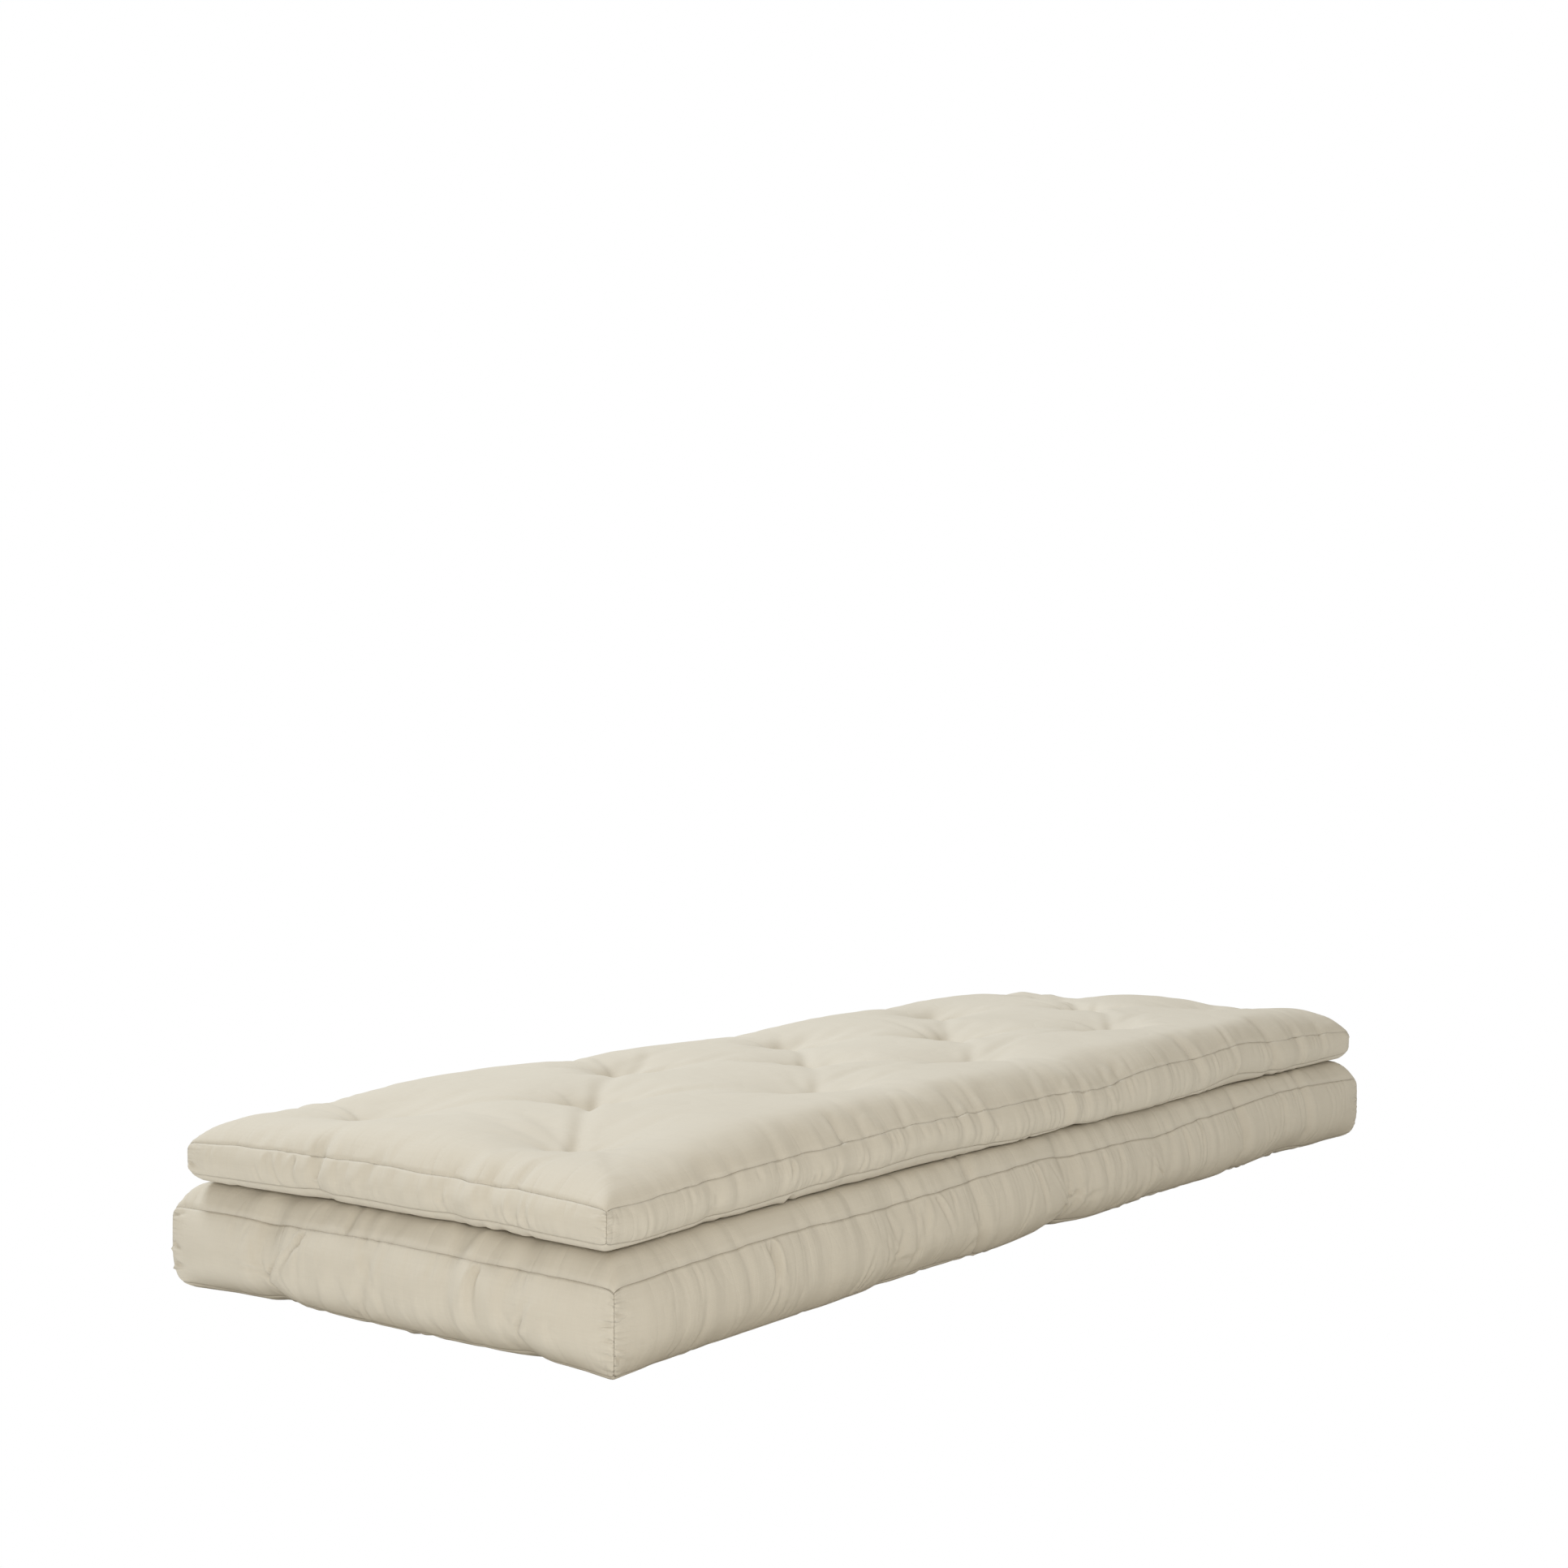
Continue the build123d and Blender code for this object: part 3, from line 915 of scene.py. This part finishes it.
# ---------------------------------------------------------------------------------------------
# Seams. The panels are joined by lockstitch in cotton thread. It lies in the groove that the
# seam makes: round the top, round the bottom, and up each of the four corners.

THREAD_RADIUS = 0.00024
TWINE_RADIUS = 0.0012


def yarn_finish(name, light, dark, twist_per_m):
    """A plied yarn in two close tones."""
    finish = bpy.data.materials.new(name)
    finish.use_nodes = True
    tree = finish.node_tree
    shader = tree.nodes["Principled BSDF"]
    root = Weave(tree, shader.outputs[0])
    space = root.node("ShaderNodeTexCoord", {}, {}, "Object")
    plies = root.node("ShaderNodeTexNoise", {}, {"Vector": space, "Scale": twist_per_m, "Detail": 1.0})
    ends = {"Factor": plies, "A": (*dark, 1.0), "B": (*light, 1.0)}
    colour = root.node("ShaderNodeMix", {"data_type": "RGBA"}, ends, 2)
    relief = {"Strength": 0.6, "Distance": 0.0003, "Height": plies}
    bump = root.node("ShaderNodeBump", {}, relief)
    tree.links.new(colour.socket, shader.inputs["Base Color"])
    tree.links.new(bump.socket, shader.inputs["Normal"])
    shader.inputs["Roughness"].default_value = 0.85
    return finish


seam_thread = yarn_finish("seam_thread", (0.68, 0.64, 0.55), (0.54, 0.50, 0.41), 260.0)
twine = yarn_finish("twine", (0.52, 0.48, 0.39), (0.44, 0.40, 0.31), 600.0)


def yarn(name, routes, radius, closed, finish):
    """One piece of yarn or more, each a round tube along its route."""
    data = bpy.data.curves.new(name, "CURVE")
    data.dimensions = "3D"
    data.bevel_depth = radius
    data.bevel_resolution = 1
    data.use_fill_caps = not closed
    for route in routes:
        line = data.splines.new("POLY")
        line.points.add(len(route) - 1)
        line.points.foreach_set("co", np.column_stack([route, np.ones(len(route))]).ravel())
        line.use_cyclic_u = closed
    holder = bpy.data.objects.new(name + "_route", data)
    bpy.context.scene.collection.objects.link(holder)
    depsgraph = bpy.context.evaluated_depsgraph_get()
    mesh = bpy.data.meshes.new_from_object(holder.evaluated_get(depsgraph))
    bpy.data.objects.remove(holder)
    mesh.name = name
    mesh.shade_smooth()
    mesh.materials.append(finish)
    piece = bpy.data.objects.new(name, mesh)
    bpy.context.scene.collection.objects.link(piece)
    return piece


def round_route(points, home, level):
    """The seam round a casing at one height of its flat box, in order."""
    low, high = home.min(0), home.max(0)
    on = (np.abs(home[:, 2] - level) < 1e-5) & (
        (np.abs(home[:, :2] - low[:2]) < 1e-5) | (np.abs(home[:, :2] - high[:2]) < 1e-5)
    ).any(1)
    ring = np.nonzero(on)[0]
    flat = home[ring]
    middle = (low + high) / 2
    half = (high - low) / 2
    u, v = ((flat - middle) / half)[:, :2].T
    edge = np.abs(v) >= np.abs(u)
    place = np.where(edge, np.where(v < 0, u, 4 - u), np.where(u > 0, 2 + v, 6 - v))
    return points[ring[np.argsort(place, kind="stable")]]


def corner_route(points, home, x_end, y_end):
    """The seam up one corner of a casing, from the bottom to the top."""
    at = (np.abs(home[:, 0] - x_end) < 1e-5) & (np.abs(home[:, 1] - y_end) < 1e-5)
    line = np.nonzero(at)[0]
    return points[line[np.argsort(home[line, 2])]]


for name, (points, home) in wholes.items():
    low, high = home.min(0), home.max(0)
    for part, level in (("low_seam", low[2]), ("high_seam", high[2])):
        route = [round_route(points, home, level)]
        piece = yarn(f"{name}_{part}", route, THREAD_RADIUS, True, seam_thread)
        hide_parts(f"{name}_foot_{part}", f"{name}_head_{part}")
        bend_at_fold(piece, name)
    for half, x_end in (("foot", low[0]), ("head", high[0])):
        routes = [corner_route(points, home, x_end, y_end) for y_end in (low[1], high[1])]
        corner = f"{name}_{half}_corner_seams"
        piece = yarn(corner + "_thread", routes, THREAD_RADIUS, False, seam_thread)
        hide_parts(corner)
        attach(piece, f"{name}_{half}")

# ---------------------------------------------------------------------------------------------
# Padding. Three layers fill each casing, sewn in by the ties: cotton batting above and below,
# and a foam core between them in the base, or a third batting in the topper. The layers take up
# the casing's own shape, so they are thin under the ties and full between them.

PAD_CLEAR, RIM_CLEAR = 0.0090, 0.0050
SIDE_CLEAR, SIDE_REACH = 0.020, 0.045
PAD_GAP = 0.0004
PADS = {
    "base": (("lower_batt", 0.0, 0.32), ("foam_core", 0.32, 0.66), ("upper_batt", 0.66, 1.0)),
    "topper": (("lower_batt", 0.0, 0.33), ("middle_batt", 0.33, 0.62), ("upper_batt", 0.62, 1.0)),
}


def stuffing_finish(name, light, dark, grain, relief):
    """Loose fibre or cut foam, in two close tones with a grain of its own."""
    finish = bpy.data.materials.new(name)
    finish.use_nodes = True
    tree = finish.node_tree
    shader = tree.nodes["Principled BSDF"]
    root = Weave(tree, shader.outputs[0])
    space = root.node("ShaderNodeTexCoord", {}, {}, "Object")
    coarse = root.node("ShaderNodeTexNoise", {}, {"Vector": space, "Scale": grain / 12, "Detail": 4.0})
    fine = root.node("ShaderNodeTexNoise", {}, {"Vector": space, "Scale": grain, "Detail": 3.0})
    tone = coarse * 0.6 + fine * 0.4
    ends = {"Factor": tone, "A": (*dark, 1.0), "B": (*light, 1.0)}
    colour = root.node("ShaderNodeMix", {"data_type": "RGBA"}, ends, 2)
    bump = root.node("ShaderNodeBump", {}, {"Strength": 0.7, "Distance": relief, "Height": tone})
    tree.links.new(colour.socket, shader.inputs["Base Color"])
    tree.links.new(bump.socket, shader.inputs["Normal"])
    shader.inputs["Roughness"].default_value = 0.95
    return finish


batting = stuffing_finish("batting", (0.80, 0.77, 0.68), (0.66, 0.62, 0.52), 420.0, 0.002)
foam = stuffing_finish("foam", (0.78, 0.72, 0.50), (0.70, 0.63, 0.40), 900.0, 0.0006)


def layer_points(points, home, start, end):
    """Where the flat box's vertices lie on a layer between two shares of the casing's height."""
    low, high = home.min(0), home.max(0)
    share = (home[:, 2] - low[2]) / (high[2] - low[2])
    keys = np.round((home[:, :2] - low[:2]) / 1e-4).astype(np.int64)
    order = np.lexsort((share, keys[:, 1], keys[:, 0]))
    column = np.r_[True, np.any(np.diff(keys[order], axis=0) != 0, axis=1)]
    first = np.nonzero(column)[0]
    last = np.r_[first[1:], len(order)] - 1
    bottom = np.empty_like(points)
    top = np.empty_like(points)
    group = np.cumsum(column) - 1
    bottom[order] = points[order[first]][group]
    top[order] = points[order[last]][group]
    lie = start + (end - start) * share
    to_high, to_low = high[:2] - home[:, :2], home[:, :2] - low[:2]
    edge = np.minimum(to_high, to_low).min(1)
    clear = np.zeros_like(points)
    clear[:, 2] = PAD_CLEAR + RIM_CLEAR * np.exp(-((edge / 0.09) ** 2))
    shape = (bottom + clear) * (1 - lie)[:, None] + (top - clear) * lie[:, None]
    shape[:, :2] += SIDE_CLEAR * (np.exp(-to_low / SIDE_REACH) - np.exp(-to_high / SIDE_REACH))
    shape[:, 2] += PAD_GAP * (1 - 2 * share)
    return shape


for name, layers in PADS.items():
    home = made[name][1]
    for part, start, end in layers:
        mesh = sewn_box(f"{name}_{part}", CASINGS[name])
        set_points(mesh, layer_points(settled[name], home, start, end))
        for face in mesh.polygons:
            face.material_index = 0
        mesh.shade_smooth()
        mesh.materials.append(foam if part == "foam_core" else batting)
        pad = bpy.data.objects.new(f"{name}_{part}", mesh)
        bpy.context.scene.collection.objects.link(pad)
        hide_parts(f"{name}_foot_{part}", f"{name}_head_{part}")
        "foam" if part == "foam_core" else "batting"
        0.75 if part == "foam_core" else 0.55
        bend_at_fold(pad, name)

# ---------------------------------------------------------------------------------------------
# Ties. Each is a loop of cotton twine pulled through the whole mattress with a long needle, with
# a short stitch lying in the well above and another in the well below.

TIE_SPAN = 0.009
TIE_BEND_STEPS = 5


def tie_route(top, low):
    """A closed loop down through the mattress, with rounded turns at its two stitches."""
    bend = TWINE_RADIUS * 1.6
    half = TIE_SPAN / 2 - bend
    turns = np.linspace(0, math.pi / 2, TIE_BEND_STEPS)
    quarter = np.column_stack([half + bend * np.sin(turns), bend * np.cos(turns)])
    left = quarter[::-1] * [-1, 1]
    upper = np.vstack([left, quarter])
    lower = upper[::-1] * [1, -1]
    upper = np.column_stack([top[0] + upper[:, 0], np.full(len(upper), top[1]), top[2] - bend + upper[:, 1]])
    lower = np.column_stack([low[0] + lower[:, 0], np.full(len(lower), low[1]), low[2] + bend + lower[:, 1]])
    return np.vstack([upper, lower])


for name, (points, home) in wholes.items():
    low, high = home.min(0), home.max(0)
    on_top, on_low = np.abs(home[:, 2] - high[2]) < 1e-5, np.abs(home[:, 2] - low[2]) < 1e-5
    loops = {"foot": [], "head": []}
    for tie_x, tie_y in tie_places(CASINGS[name]):
        away = (home[:, 0] - tie_x) ** 2 + (home[:, 1] - tie_y) ** 2
        top = points[np.argmin(np.where(on_top, away, 9.0))] + [0, 0, TWINE_RADIUS * 0.1]
        under = points[np.argmin(np.where(on_low, away, 9.0))] - [0, 0, TWINE_RADIUS * 0.1]
        loops["foot" if tie_x < 0 else "head"].append(tie_route(top, under))
    for half, routes in loops.items():
        node = f"{name}_{half}_ties"
        piece = yarn(node + "_twine", routes, TWINE_RADIUS, True, twine)
        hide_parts(node)
        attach(piece, f"{name}_{half}")
